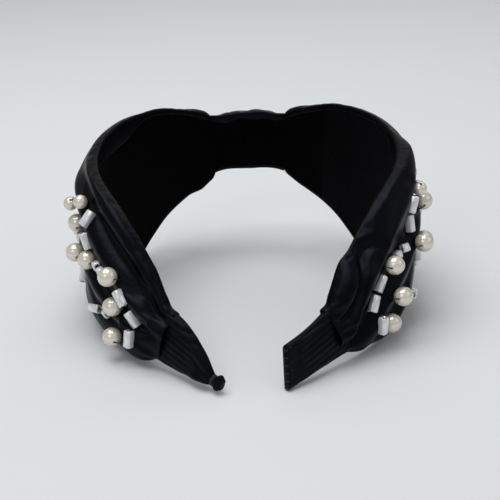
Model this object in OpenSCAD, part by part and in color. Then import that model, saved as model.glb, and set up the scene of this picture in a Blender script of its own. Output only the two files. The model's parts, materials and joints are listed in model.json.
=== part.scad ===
// Padded knot headband: a sprung plastic hoop with foam pads, satin wings, a knot at the
// crown, a fabric lining, ribbon sleeves on both ends and beads sewn on the wings.
// Millimetres. The band is drawn with its hoop flat: X across, +Y towards the crown, Z
// along the band's width. It is then tipped to lie on its two ends and its wings' edges.
// A place on an arm is (s, u, v): s along the inner face from the crown, u across the
// band towards its upper edge, and v out from the inner face.

/* [Hoop] */
// Radius of the inner face round the crown
crown_r = 61.5; // [58:0.5:68]
// Radius of the inner face along each side
side_r = 94; // [85:1:110]
// Turn of each side arc, in degrees
side_turn = 45; // [38:1:50]
// Straight length of each end
end_len = 30; // [29:0.5:34]
// Width of the plastic strip
core_w = 14; // [12:0.5:14.5]
// Thickness of the plastic strip
core_t = 2; // [1.5:0.1:2]
// Distance from the crown to each flexing place of the strip
flex_at = 18; // [17:0.5:20]

/* [Lean of the band, top edge inwards, in degrees] */
// At the knot
knot_lean = -2; // [-6:0.5:4]
// At the shoulder of the wing
shoulder_lean = -8.5; // [-12:0.5:2]
// At the middle of the wing
wing_lean = -2; // [-6:0.5:6]
// Where the wing turns in
turn_lean = 12.5; // [4:0.5:18]
// At the ribbon ends
end_lean = 25; // [16:0.5:26]

/* [Half widths above and below the strip's middle] */
// Knot, above
knot_up = 15.8; // [14:0.1:18]
// Knot, below
knot_down = 16.6; // [14:0.1:18]
// Root of the wing, above
root_up = 21; // [18:0.1:26]
// Root of the wing, below
root_down = 22.8; // [18:0.1:26]
// Shoulder of the wing, above
shoulder_up = 28.2; // [26:0.1:32]
// Shoulder of the wing, below
shoulder_down = 28.8; // [26:0.1:32]
// Widest part of the wing, above
wing_up = 34.2; // [30:0.1:36]
// Widest part of the wing, below
wing_down = 39; // [30:0.1:38]
// Where the wing begins to gather, above
gather_up = 32.5; // [24:0.1:33]
// Where the wing begins to gather, below
gather_down = 25; // [24:0.1:33]
// Flare before the ribbon, above
flare_up = 22; // [14:0.1:22]
// Flare before the ribbon, below
flare_down = 18; // [14:0.1:22]
// Start of the ribbon
ribbon_half = 11; // [9.5:0.1:11]
// Tip of the ribbon
tip_half = 8.7; // [8.5:0.1:10]

/* [Padding and fabric] */
// Depth of the knot
knot_t = 11.4; // [9:0.2:14]
// Depth of the wing at its root
root_t = 7; // [6:0.2:9]
// Depth of the wing in front
wing_t = 7; // [7:0.2:10]
// Depth of the wing where it gathers
gather_t = 10; // [7:0.2:10]
// Depth of the ribbon ends
ribbon_t = 4.2; // [4.2:0.1:5]
// Thickness of the satin with its backing
satin_t = 0.8; // [0.6:0.1:1]
// Thickness of the lining
lining_t = 0.7; // [0.5:0.1:0.8]
// Width of the satin that turns over on to the inner face
turn_in = 5; // [3:0.5:6]
// Length of each ribbon sleeve
ribbon_len = 28; // [26:0.5:30]
// Half length of the knot
knot_half_len = 15.5; // [14:0.5:16]

/* [Beads] */
// Diameter of the large pearls
pearl_d = 8; // [7:0.2:9]
// Diameter of the small pearls
seed_d = 6; // [4:0.2:6.5]
// Length of the glass tubes
tube_len = 7; // [6:0.2:8]
// Width of the glass tubes and cubes
tube_w = 3.5; // [3:0.1:4]
// Diameter of the beads' holes
hole_d = 1.1; // [1:0.1:1.4]
// Diameter of the sewing thread
thread_d = 0.4; // [0.3:0.05:0.5]
// How much nearer the crown the right wing's beads are
right_shift = 5; // [0:0.5:6]

/* [Hidden] */
$fn = 32;

crown_len = crown_r * PI / 2;
side_len = side_r * side_turn * PI / 180;
arm_len = crown_len + side_len + end_len;
gap = 0.3;                                  // air between neighbouring layers
core_v = lining_t + gap;                    // height of the strip's inner face
root_at = flex_at + 1.5;                    // start of the wings
ribbon_at = arm_len - ribbon_len;
core_end = arm_len - 12;                    // the strip stops inside the ribbon
taper_len = 12;
core_taper = 0.3;                           // loss of half width, for each mm along
cover_end = ribbon_at - 0.4;
arc_steps = 12;                             // facets across the wings
edge_power = 2.6;                           // how square the wings' edges are
bead_gap = 0.8;                             // air under the beads
slack = 0.2;                                // room over the foam, for each mm of depth
stitch_gap = 3;                             // between the stitches of a ribbon's end
stitch_at = arm_len + 0.5;

// One spray of beads: what each bead is, how far it lies from the one before it, and
// which way the chain runs there, in degrees from the arm's length.
spray_beads = ["pearl", "cube", "cube", "pearl", "tube", "tube", "tube"];
spray_gaps = [0, 7.4, 4.8, 7, 8.8, 8.6, 8.6];
spray_turns = [10, 18, 4, 14, -38, -42, -74];
// Each spray on a wing: where it starts, along and across the arm, its turn and how many
// beads it has.
sprays = [[46, 15, -2, 7], [40, -22, 9, 7], [78, -12, 6, 7], [128, 8, 0, 7], [86, 10, 0, 3]];
// Beads sewn singly beside the sprays, along and across the arm, and their turns.
others = [["pearl", 110, 14.5, 0], ["tube", 121.5, 23.5, -63], ["tube", 125.3, 15.9, -63],
          ["pearl", 120, 4.5, 0], ["tube", 118, -5.5, -80], ["tube", 137, -11.5, 30],
          ["cube", 144, -7.5, 30], ["pearl", 150.5, -1, 20], ["pearl", 156, -11, 0]];
// Small pearls between them, along and across the arm.
singles = [[32, 4], [31, -12], [36, 12], [63, 1], [68, -6.5], [62, -27], [100, 2],
           [93, -25], [113.5, 26], [107.5, 22.5], [104, -28]];

width_at = [0, 16, 26, 45, 90, arm_len - 75, arm_len - 45, ribbon_at, arm_len];
ups = [knot_up, knot_up, root_up, shoulder_up, wing_up, gather_up, flare_up,
       ribbon_half, tip_half];
downs = [knot_down, knot_down, root_down, shoulder_down, wing_down, gather_down,
         flare_down, ribbon_half, tip_half];
lean_at = [flex_at, 60, 100, 130, arm_len - 35, arm_len];
leans = [knot_lean, shoulder_lean, wing_lean, turn_lean, end_lean, end_lean];
depth_at = [flex_at, 60, arm_len - 80, arm_len - 45, ribbon_at];
depths = [root_t, wing_t, gather_t, 6.4, 5.2];

// A smooth curve through values v at places p, level at both ends.
function slope_at(p, v, i) =
    i == 0 || i == len(p) - 1 ? 0 : (v[i + 1] - v[i - 1]) / (p[i + 1] - p[i - 1]);
function between(p, v, i, t) =
    v[i] * (2 * t ^ 3 - 3 * t ^ 2 + 1) + v[i + 1] * (3 * t ^ 2 - 2 * t ^ 3)
    + (p[i + 1] - p[i]) * (slope_at(p, v, i) * (t ^ 3 - 2 * t ^ 2 + t)
    + slope_at(p, v, i + 1) * (t ^ 3 - t ^ 2));
function curve(p, v, s) =
    s <= p[0] ? v[0]
    : s >= p[len(p) - 1] ? v[len(p) - 1]
    : let (i = max([for (k = [0:len(p) - 2]) if (s >= p[k]) k]))
      between(p, v, i, (s - p[i]) / (p[i + 1] - p[i]));

function half_up(s) = curve(width_at, ups, abs(s));
function half_down(s) = curve(width_at, downs, abs(s));
function lean(s) = curve(lean_at, leans, abs(s));
function depth(s) = curve(depth_at, depths, abs(s));
function knot_depth(s) = 6.5 + (knot_t - 6.5) * cos(90 * s / knot_half_len) ^ 0.7;

// The inner face of the left arm. A negative s is on the right arm, near the crown.
function turned(s) =
    s < crown_len ? s / crown_r * 180 / PI
    : s < crown_len + side_len ? 90 + (s - crown_len) / side_r * 180 / PI
    : 90 + side_turn;
function outwards(s) = [-sin(turned(s)), cos(turned(s))];
function along(s) = [-cos(turned(s)), -sin(turned(s))];
function inner_face(s) =
    s < crown_len ? crown_r * outwards(s)
    : let (reach = min(s, crown_len + side_len))
      [side_r - crown_r, 0] + side_r * outwards(reach) + (s - reach) * along(s);
function place(s, u, v) =
    let (out = v * cos(lean(s)) - u * sin(lean(s)), p = inner_face(s) + out * outwards(s))
    [p.x, p.y, u * cos(lean(s)) + v * sin(lean(s))];

// Outline of the padding: up and down are its half widths, from v0 up to v1.
function dome_point(up, down, v0, v1, a) =
    [(cos(a) >= 0 ? up : -down) * abs(cos(a)) ^ (2 / edge_power),
     v0 + (v1 - v0) * max(sin(a), 0) ^ 1.2];
function dome(up, down, v0, v1) =
    [for (k = [0:arc_steps]) dome_point(up, down, v0, v1, 180 * k / arc_steps)];
function backwards(points) = [for (k = [len(points) - 1:-1:0]) points[k]];

function cover_outline(s, deep) =
    let (up = half_up(s), down = half_down(s))
    concat([[up - turn_in, 0]], dome(up, down, 0, deep), [[turn_in - down, 0]],
           [[turn_in - down, lining_t]],
           backwards(dome(up - satin_t, down - satin_t, lining_t, deep - satin_t)),
           [[up - turn_in, lining_t]]);
function pad_outline(s, deep) =
    let (edge = satin_t + gap + slack * (deep - ribbon_t), up = half_up(s) - edge,
         down = half_down(s) - edge, slot = core_w / 2 + gap, slot_v = core_v + core_t + gap)
    concat(dome(up, down, core_v, deep - edge),
           [for (u = steps(-down + 1, -slot, 3)) [u, core_v]],
           [for (u = steps(-slot, slot, 4)) [u, slot_v]],
           [for (u = steps(slot, up - 1, 3)) [u, core_v]]);
function lining_outline(s) =
    let (up = half_up(s) - turn_in - gap, down = half_down(s) - turn_in - gap)
    concat([for (u = steps(-down, up, 6)) [u, 0]], [for (u = steps(up, -down, 6)) [u, lining_t]]);
function core_outline(s) =
    let (half = core_w / 2 - core_taper * max(s - core_end + taper_len, 0))
    [[half, core_v], [half, core_v + core_t], [-half, core_v + core_t], [-half, core_v]];
function ribbon_outline(s, inset) =
    let (half = half_up(s) - inset, low = -gap + inset, high = ribbon_t - inset,
         cut = 1.3 - inset / 2)
    [[half - cut, low], [half, low + cut], [half, high - cut], [half - cut, high],
     [cut - half, high], [-half, high - cut], [-half, low + cut], [cut - half, low]];

function placed(s, outline) = [for (p = outline) place(s, p.x, p.y)];
function steps(from, to, count) = [for (k = [0:count]) from + (to - from) * k / count];

// A solid through a row of closed outlines. Each outline's second half comes back along
// its first, so that both faces of a wall are split alike and the ends close in strips.
module loft(rings) {
    n = len(rings[0]);
    last = (len(rings) - 1) * n;
    sides = [for (i = [0:len(rings) - 2], k = [0:n - 1])
                let (a = i * n + k, b = i * n + (k + 1) % n, c = a + n, d = b + n)
                each (k < n / 2 ? [[a, d, b], [a, c, d]] : [[a, c, b], [b, c, d]])];
    strip = [for (k = [0:n / 2 - 2]) each [[k, k + 1, n - 2 - k], [k, n - 2 - k, n - 1 - k]]];
    caps = [for (f = strip) each [f, [f[2] + last, f[1] + last, f[0] + last]]];
    polyhedron(points = [for (ring = rings) each ring], faces = concat(sides, caps));
}

// A strip round the crown, from v0 to v1, between the widths u0 and u1.
module crown_strip(half_len, u0, u1, v0, v1) {
    a = half_len / crown_r * 180 / PI;
    corners = [for (p = [[u0, v0], [u1, v0], [u1, v1], [u0, v1]])
        [crown_r + p.y * cos(knot_lean) - p.x * sin(knot_lean),
         p.x * cos(knot_lean) + p.y * sin(knot_lean)]];
    rotate([0, 0, 90 - a]) rotate_extrude(angle = 2 * a, $fn = 180) polygon(corners);
}

// How the band lies: tipped until its ends and its wings' lower edges touch the table.
wing_points = [for (s = steps(40, cover_end, 60)) each placed(s, dome(
    half_up(s), half_down(s), 0, depth(s)))];
tip_points = placed(arm_len, ribbon_outline(arm_len, 0));
tip_low = min([for (p = tip_points) p.z]);
tip_y = [for (p = tip_points) if (p.z == tip_low) p.y][0];
rest_tilt = max([for (p = wing_points) if (p.z < tip_low)
    atan((tip_low - p.z) / (p.y - tip_y))]);
function tipped(p) = [p.x, p.y * cos(rest_tilt) - p.z * sin(rest_tilt),
                      p.y * sin(rest_tilt) + p.z * cos(rest_tilt)];
knot_points = [for (s = steps(-knot_half_len, knot_half_len, 12)) each placed(s, dome(
    half_up(s), half_down(s), 0, knot_depth(s)))];
rest_front = min([for (k = [-2:2])
    tipped(place(stitch_at + thread_d / 2, k * stitch_gap, ribbon_t)).y]);
rest_back = max([for (p = concat(knot_points, wing_points)) tipped(p).y]);
rest_low = min([for (p = concat(tip_points, wing_points)) tipped(p).z]);
rest_shift = [0, -(rest_front + rest_back) / 2, -rest_low];

module at_rest() {
    translate(rest_shift) rotate([rest_tilt, 0, 0]) children();
}
module on_side(side) {
    if (side == "left") at_rest() children();
    else at_rest() mirror([1, 0, 0]) children();
}

// Puts children on the outside of a wing: their X runs along the arm, Z points out.
function cover_v(s, u) =
    let (half = u > 0 ? half_up(s) : half_down(s))
    depth(s) * max(1 - abs(u / half) ^ edge_power, 0) ^ 0.6;
function cover_slope(s, u) = (cover_v(s, u + 0.5) - cover_v(s, u - 0.5));
module on_cover(s, u, turn) {
    translate(place(s, u, cover_v(s, u)))
        rotate([90 - lean(s) + atan(cover_slope(s, u)), 0, 180 + turned(s)])
            translate([0, 0, bead_gap]) rotate([0, 0, turn]) children();
}

module core_crown() {
    color("dimgray") at_rest()
        crown_strip(flex_at - gap, -core_w / 2, core_w / 2, core_v, core_v + core_t);
}
module core_arm(side) {
    color("dimgray") on_side(side)
        loft([for (s = steps(flex_at + gap, core_end, 42)) placed(s, core_outline(s))]);
}
module knot_pad() {
    color("slategray") at_rest()
        loft([for (s = steps(1.5 - knot_half_len, knot_half_len - 1.5, 10))
            placed(s, pad_outline(s, knot_depth(s)))]);
}
module foam(side) {
    color("slategray") on_side(side)
        loft([for (s = steps(root_at + 1.5, cover_end - 2, 40))
            placed(s, pad_outline(s, depth(s)))]);
}
module knot_wrap() {
    color("black") at_rest()
        loft([for (s = steps(-knot_half_len, knot_half_len, 10))
            placed(s, cover_outline(s, knot_depth(s)))]);
}
module cover(side) {
    color([0.07, 0.07, 0.09]) on_side(side)
        loft([for (s = steps(root_at, cover_end, 52)) placed(s, cover_outline(s, depth(s)))]);
}
module lining_crown() {
    color([0.04, 0.04, 0.04]) at_rest()
        crown_strip(flex_at - 0.6, turn_in + 1 - knot_down, knot_up - turn_in - 1, 0, lining_t);
}
module lining(side) {
    color([0.04, 0.04, 0.04]) on_side(side)
        loft([for (s = steps(flex_at + 0.6, cover_end, 52)) placed(s, lining_outline(s))]);
}
// A sleeve with one end closed, between two rows of outlines.
module sleeve(outside, inside) {
    n = len(outside[0]);
    m = len(outside);
    function quad(a, b, c, d) = [[a, c, b], [a, d, c]];
    walls = [for (i = [0:m - 2], k = [0:n - 1])
                let (a = i * n + k, b = i * n + (k + 1) % n, c = m * n)
                each concat(quad(a, b, b + n, a + n),
                            quad(c + b, c + a, c + a + n, c + b + n))];
    rim = [for (k = [0:n - 1]) let (b = (k + 1) % n) each quad(b, k, m * n + k, m * n + b)];
    last = (m - 1) * n;
    caps = [[for (k = [n - 1:-1:0]) last + k], [for (k = [0:n - 1]) m * n + last + k]];
    polyhedron(points = [for (ring = concat(outside, inside)) each ring],
               faces = concat(walls, rim, caps));
}
module ribbon(side) {
    color([0.05, 0.06, 0.11]) on_side(side)
        sleeve([for (s = steps(ribbon_at, arm_len, 8)) placed(s, ribbon_outline(s, 0))],
               [for (s = steps(ribbon_at, arm_len - 1, 8)) placed(s, ribbon_outline(s, 0.6))]);
}
// Whip stitches that close the end of a ribbon sleeve.
module tip_stitch(side) {
    color("black") on_side(side)
        for (k = [-2:2])
            translate(place(stitch_at, k * stitch_gap, -gap))
                rotate([90 - end_lean, 0, 180 + turned(arm_len)])
                    cylinder(d = thread_d, h = ribbon_t + gap);
}

module pearl(d) {
    translate([0, 0, d / 2]) rotate([0, 90, 0]) rotate_extrude() intersection() {
        circle(d = d);
        translate([hole_d / 2, -d / 2]) square([d, d]);
    }
}
module glass(length) {
    difference() {
        translate([-length / 2, -tube_w / 2, 0]) cube([length, tube_w, tube_w]);
        translate([-length, 0, tube_w / 2]) rotate([0, 90, 0])
            cylinder(d = hole_d, h = 2 * length);
    }
}
// The stitch through a bead: along its hole and down both ends to the satin.
module bead_stitch(length, high) {
    reach = length / 2 + 0.5;
    translate([-reach, 0, high]) rotate([0, 90, 0]) cylinder(d = thread_d, h = 2 * reach);
    for (x = [-reach, reach]) translate([x, 0, 0]) cylinder(d = thread_d, h = high);
}

// Every bead on a wing as [kind, s, u, turn], those of a spray each worked out from the
// one before it.
function bead_turn(spray, i) = spray[2] + spray_turns[i];
function bead_at(spray, i) =
    i == 0 ? [spray[0], spray[1]]
    : bead_at(spray, i - 1) + spray_gaps[i] * [cos(bead_turn(spray, i)), sin(bead_turn(spray, i))];
function spray_bead(spray, i) =
    concat([spray_beads[i]], bead_at(spray, i), [bead_turn(spray, i)]);
beads = concat([for (spray = sprays, i = [0:spray[3] - 1]) spray_bead(spray, i)], others,
               [for (at = singles) ["small pearl", at.x, at.y, 3 * at.y]]);
module each_bead(side, kind) {
    shift = side == "right" ? right_shift : 0;
    for (bead = beads)
        if (bead[0] == kind) on_cover(bead[1] - shift, bead[2], bead[3]) children();
}
module pearls(side) {
    color("ivory") on_side(side) each_bead(side, "pearl") pearl(pearl_d);
}
module small_pearls(side) {
    color("ivory") on_side(side) each_bead(side, "small pearl") pearl(seed_d);
}
module glass_tubes(side) {
    color([0.85, 0.88, 0.9]) on_side(side) each_bead(side, "tube") glass(tube_len);
}
module glass_cubes(side) {
    color([0.85, 0.88, 0.9]) on_side(side) each_bead(side, "cube") glass(tube_w);
}
module bead_threads(side) {
    color("black") on_side(side) {
        each_bead(side, "pearl") bead_stitch(pearl_d, pearl_d / 2);
        each_bead(side, "small pearl") bead_stitch(seed_d, seed_d / 2);
        each_bead(side, "tube") bead_stitch(tube_len, tube_w / 2);
        each_bead(side, "cube") bead_stitch(tube_w, tube_w / 2);
    }
}

core_crown();
core_arm("left");  // core_left
core_arm("right");  // core_right
knot_pad();
foam("left");  // foam_left
foam("right");  // foam_right
knot_wrap();
cover("left");  // cover_left
cover("right");  // cover_right
lining_crown();
lining("left");  // lining_left
lining("right");  // lining_right
ribbon("left");  // ribbon_left
ribbon("right");  // ribbon_right
tip_stitch("left");  // tip_stitch_left
tip_stitch("right");  // tip_stitch_right
pearls("left");  // pearls_left
pearls("right");  // pearls_right
small_pearls("left");  // small_pearls_left
small_pearls("right");  // small_pearls_right
glass_tubes("left");  // glass_tubes_left
glass_tubes("right");  // glass_tubes_right
glass_cubes("left");  // glass_cubes_left
glass_cubes("right");  // glass_cubes_right
bead_threads("left");  // bead_threads_left
bead_threads("right");  // bead_threads_right
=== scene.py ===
import json
import math

import bmesh
import bpy
from mathutils import Matrix, Vector, noise
from mathutils.bvhtree import BVHTree


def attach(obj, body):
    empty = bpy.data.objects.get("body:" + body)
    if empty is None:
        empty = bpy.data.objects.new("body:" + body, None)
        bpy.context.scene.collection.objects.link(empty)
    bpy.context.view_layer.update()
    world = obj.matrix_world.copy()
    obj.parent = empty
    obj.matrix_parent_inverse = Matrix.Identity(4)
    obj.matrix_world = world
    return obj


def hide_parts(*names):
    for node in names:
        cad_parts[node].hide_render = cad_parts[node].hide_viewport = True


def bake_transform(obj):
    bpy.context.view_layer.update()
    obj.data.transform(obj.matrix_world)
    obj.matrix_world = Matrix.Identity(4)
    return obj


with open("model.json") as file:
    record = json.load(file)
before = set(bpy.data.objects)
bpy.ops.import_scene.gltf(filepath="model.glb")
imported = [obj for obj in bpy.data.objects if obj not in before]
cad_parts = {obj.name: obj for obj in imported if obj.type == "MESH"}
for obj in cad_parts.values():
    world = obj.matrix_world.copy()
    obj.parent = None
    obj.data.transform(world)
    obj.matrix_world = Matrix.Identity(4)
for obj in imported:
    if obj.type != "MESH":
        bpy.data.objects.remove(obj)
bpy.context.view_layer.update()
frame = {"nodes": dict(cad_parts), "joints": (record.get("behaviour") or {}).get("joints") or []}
mm = 0.001

# The band's own places, in millimetres: s runs along an arm from the crown, u across the
# band towards its upper edge, v out from the inner face. Side 1 is left and -1 is right.
band = {
    "crownRadius": 61.5, "sideRadius": 94, "sideTurn": 45, "endLength": 30,
    "knotHalf": 15.5, "ribbonLength": 28,
    "halfUp": [15.8, 15.8, 21, 28.2, 34.2, 32.5, 22, 11, 8.7],
    "halfDown": [16.6, 16.6, 22.8, 28.8, 39, 25, 18, 11, 8.7],
    "leanPlaces": [18, 60, 100, 130], "lean": [-2, -8.5, -2, 12.5, 25, 25],
    "depth": [7, 7, 10, 6.4, 5.2], "hingeAt": 18,
}
crownLength = band["crownRadius"] * math.pi / 2
sideLength = band["sideRadius"] * math.radians(band["sideTurn"])
armLength = crownLength + sideLength + band["endLength"]
ribbonAt = armLength - band["ribbonLength"]
widthPlaces = [0, 16, 26, 45, 90, armLength - 75, armLength - 45, ribbonAt, armLength]
leanPlaces = band["leanPlaces"] + [armLength - 35, armLength]
depthPlaces = [18, 60, armLength - 80, armLength - 45, ribbonAt]


def curveAt(places, values, s):
    if s <= places[0]:
        return values[0]
    if s >= places[-1]:
        return values[-1]
    i = max(k for k in range(len(places) - 1) if s >= places[k])
    step = places[i + 1] - places[i]
    t = (s - places[i]) / step

    def slope(k):
        if k in (0, len(places) - 1):
            return 0
        return (values[k + 1] - values[k - 1]) / (places[k + 1] - places[k - 1])

    return (values[i] * (2 * t**3 - 3 * t**2 + 1) + values[i + 1] * (3 * t**2 - 2 * t**3)
            + step * (slope(i) * (t**3 - 2 * t**2 + t) + slope(i + 1) * (t**3 - t**2)))


def fade(low, high, x):
    t = min(1, max(0, (x - low) / (high - low)))
    return t * t * (3 - 2 * t)


def halfUp(s):
    return curveAt(widthPlaces, band["halfUp"], abs(s))


def halfDown(s):
    return curveAt(widthPlaces, band["halfDown"], abs(s))


def depthAt(s):
    return curveAt(depthPlaces, band["depth"], abs(s))


def turned(s):
    if s < crownLength:
        return s / band["crownRadius"]
    return math.pi / 2 + min(s - crownLength, sideLength) / band["sideRadius"]


hinges = {joint["name"]: joint for joint in frame["joints"]}
tilt = math.asin(-hinges["right_arm_flex"]["axis"][1])    # how far the hoop is tipped up


def placeInHoop(s, u, v):
    a = turned(s)
    if s < crownLength:
        x, y = -band["crownRadius"] * math.sin(a), band["crownRadius"] * math.cos(a)
    else:
        beyond = max(0, s - crownLength - sideLength)
        x = band["sideRadius"] - band["crownRadius"] - band["sideRadius"] * math.sin(a) \
            - beyond * math.cos(a)
        y = band["sideRadius"] * math.cos(a) - beyond * math.sin(a)
    lean = math.radians(curveAt(leanPlaces, band["lean"], abs(s)))
    out = v * math.cos(lean) - u * math.sin(lean)
    return Vector((x - out * math.sin(a), y + out * math.cos(a),
                   u * math.cos(lean) + v * math.sin(lean)))


tip = Matrix.Rotation(tilt, 3, "X")
shift = Vector(hinges["left_arm_flex"]["pos_m"]) / mm - tip @ placeInHoop(band["hingeAt"], 0, 2)


def place(side, s, u, v):
    p = placeInHoop(s, u, v)
    p.x *= side
    return (tip @ p + shift) * mm


def placeOnCrown(s, u, v):
    # The knot's pieces run from the right wing, where s is below nothing, to the left one.
    return place(1, s, u, v) if s >= 0 else place(-1, -s, u, v)


def meshFrom(name, bm):
    mesh = bpy.data.meshes.new(name)
    bm.to_mesh(mesh)
    bm.free()
    return mesh


def finishPiece(name, bm, *materials):
    mesh = meshFrom(name, bm)
    for face in mesh.polygons:
        face.use_smooth = True
    for material in materials:
        mesh.materials.append(material)
    thing = bpy.data.objects.new(name, mesh)
    bpy.context.scene.collection.objects.link(thing)
    return thing


def addThickness(thing, thick, side):
    # side 1 grows the cloth along its normals and -1 against them
    solid = thing.modifiers.new("thickness", "SOLIDIFY")
    solid.thickness, solid.offset = thick * mm, side


def addSmoothing(thing):
    smoother = thing.modifiers.new("smooth", "SUBSURF")
    smoother.levels = smoother.render_levels = 1


def bandGrid(alongCount, acrossCount, rowAt, closed=False):
    # A grid bent on to the band: rowAt(a), with a from 0 to 1 along it, gives each
    # vertex's place, its cloth coordinates in centimetres, and its (s, u, v).
    bm = bmesh.new()
    bmesh.ops.create_grid(bm, x_segments=alongCount, y_segments=acrossCount, size=0.5)
    cloth = bm.loops.layers.uv.new("cloth")
    rows = [rowAt(i / alongCount) for i in range(alongCount + 1)]
    made = {v: rows[round((v.co.x + 0.5) * alongCount)][round((v.co.y + 0.5) * acrossCount)]
            for v in bm.verts}
    for face in bm.faces:
        for loop in face.loops:
            loop[cloth].uv = made[loop.vert][1]
    for v, spot in made.items():
        v.co = spot[0]
    if closed:
        bmesh.ops.remove_doubles(bm, verts=bm.verts, dist=0.00001)
    bmesh.ops.recalc_face_normals(bm, faces=bm.faces)
    bm.normal_update()
    return bm, {v: made[v][2] for v in bm.verts}


def faceOutwards(bm, spots, side):
    # Turns the whole sheet over where its outer face looks in.
    v = max(spots, key=lambda x: spots[x][2])
    s, u, out = spots[v]
    if v.normal.dot(place(side, s, u, out + 1) - place(side, s, u, out)) < 0:
        bmesh.ops.reverse_faces(bm, faces=bm.faces)
        bm.normal_update()


def raiseCloth(spots, heightAt):
    # Moves every vertex along its normal by the height, in millimetres, and the share of
    # it that heightAt(s, u, v) gives.
    moves = {}
    for v, spot in spots.items():
        high, share = heightAt(*spot)
        moves[v] = v.normal * high * mm * share
    for v, move in moves.items():
        v.co += move


def outline(points, count):
    # count + 1 evenly spaced points along a polyline of (u, v)
    lengths = [0]
    for a, b in zip(points, points[1:]):
        lengths.append(lengths[-1] + math.hypot(b[0] - a[0], b[1] - a[1]))
    found, k = [], 0
    for i in range(count + 1):
        target = lengths[-1] * i / count
        while k < len(points) - 2 and lengths[k + 1] < target:
            k += 1
        t = (target - lengths[k]) / max(lengths[k + 1] - lengths[k], 1e-9)
        found.append((points[k][0] + t * (points[k + 1][0] - points[k][0]),
                      points[k][1] + t * (points[k + 1][1] - points[k][1])))
    return found, lengths[-1]


def domeSection(up, down, deep, lipUp, lipDown, lipV):
    # The cloth's section: from the upper lip on the inner face, over the padding, to the
    # lower lip. The edges are as square as the padding's.
    steps, edgePower, turn = 48, 2.6, 1.2
    points = [(up - lipUp, lipV), (up - turn, lipV)]
    for k in range(steps + 1):
        a = math.pi * k / steps
        side = up if math.cos(a) >= 0 else -down
        points.append((side * abs(math.cos(a)) ** (2 / edgePower), deep * math.sin(a) ** 1.2))
    return points + [(turn - down, lipV), (lipDown - down, lipV)]


def toLinear(code):
    parts = [int(code[i:i + 2], 16) / 255 for i in (1, 3, 5)]
    return [*(c / 12.92 if c <= 0.04045 else ((c + 0.055) / 1.055) ** 2.4 for c in parts), 1]


def newMaterial(name):
    material = bpy.data.materials.new(name)
    material.use_nodes = True
    return material, material.node_tree, material.node_tree.nodes["Principled BSDF"]


def addNode(tree, kind, settings=None, inputs=None, links=None):
    node = tree.nodes.new(kind)
    for key, value in (settings or {}).items():
        setattr(node, key, value)
    for key, value in (inputs or {}).items():
        node.inputs[key].default_value = value
    for key, source in (links or {}).items():
        tree.links.new(source, node.inputs[key])
    return node


def setShader(shader, **values):
    for key, value in values.items():
        shader.inputs[key.replace("_", " ")].default_value = value


def makeSatin():
    # Polyester satin with a fine twill: black with a cold navy cast, a soft broad gloss
    # along the folds and a faint bloom at grazing angles.
    material, tree, shader = newMaterial("satin")
    at = addNode(tree, "ShaderNodeTexCoord")
    cloth = addNode(tree, "ShaderNodeUVMap", {"uv_map": "cloth"})
    patch = addNode(tree, "ShaderNodeTexNoise", None, {"Scale": 60, "Detail": 3},
                    {"Vector": at.outputs["Object"]})
    tone = addNode(tree, "ShaderNodeValToRGB", None, None, {"Fac": patch.outputs["Fac"]})
    tone.color_ramp.elements[0].color = toLinear("#020204")
    tone.color_ramp.elements[1].color = toLinear("#060609")
    tone.color_ramp.elements[0].position, tone.color_ramp.elements[1].position = 0.35, 0.7
    tree.links.new(tone.outputs["Color"], shader.inputs["Base Color"])
    # threads are 0.1 mm apart, drawn 0.6 mm apart so that they show
    turn = addNode(tree, "ShaderNodeMapping", None, {"Rotation": (0, 0, math.radians(25))},
                   {"Vector": cloth.outputs["UV"]})
    twill = addNode(tree, "ShaderNodeTexWave", {"wave_type": "BANDS"},
                    {"Scale": 5.2, "Distortion": 0.6, "Detail": 1},
                    {"Vector": turn.outputs["Vector"]})
    crush = addNode(tree, "ShaderNodeTexNoise", None,
                    {"Scale": 2.4, "Detail": 5, "Roughness": 0.55},
                    {"Vector": cloth.outputs["UV"]})
    fine = addNode(tree, "ShaderNodeBump", None, {"Strength": 0.06, "Distance": 0.0003},
                   {"Height": twill.outputs["Fac"]})
    soft = addNode(tree, "ShaderNodeBump", None, {"Strength": 0.25, "Distance": 0.0012},
                   {"Height": crush.outputs["Fac"], "Normal": fine.outputs["Normal"]})
    tree.links.new(soft.outputs["Normal"], shader.inputs["Normal"])
    wear = addNode(tree, "ShaderNodeMapRange", None, {"To Min": 0.28, "To Max": 0.4},
                   {"Value": crush.outputs["Fac"]})
    tree.links.new(wear.outputs["Result"], shader.inputs["Roughness"])
    setShader(shader, IOR=1.5, Specular_IOR_Level=0.1, Sheen_Weight=0.003, Sheen_Roughness=0.4,
              Sheen_Tint=toLinear("#9aa0bc"), Specular_Tint=toLinear("#e2e6ff"))
    return material


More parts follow.
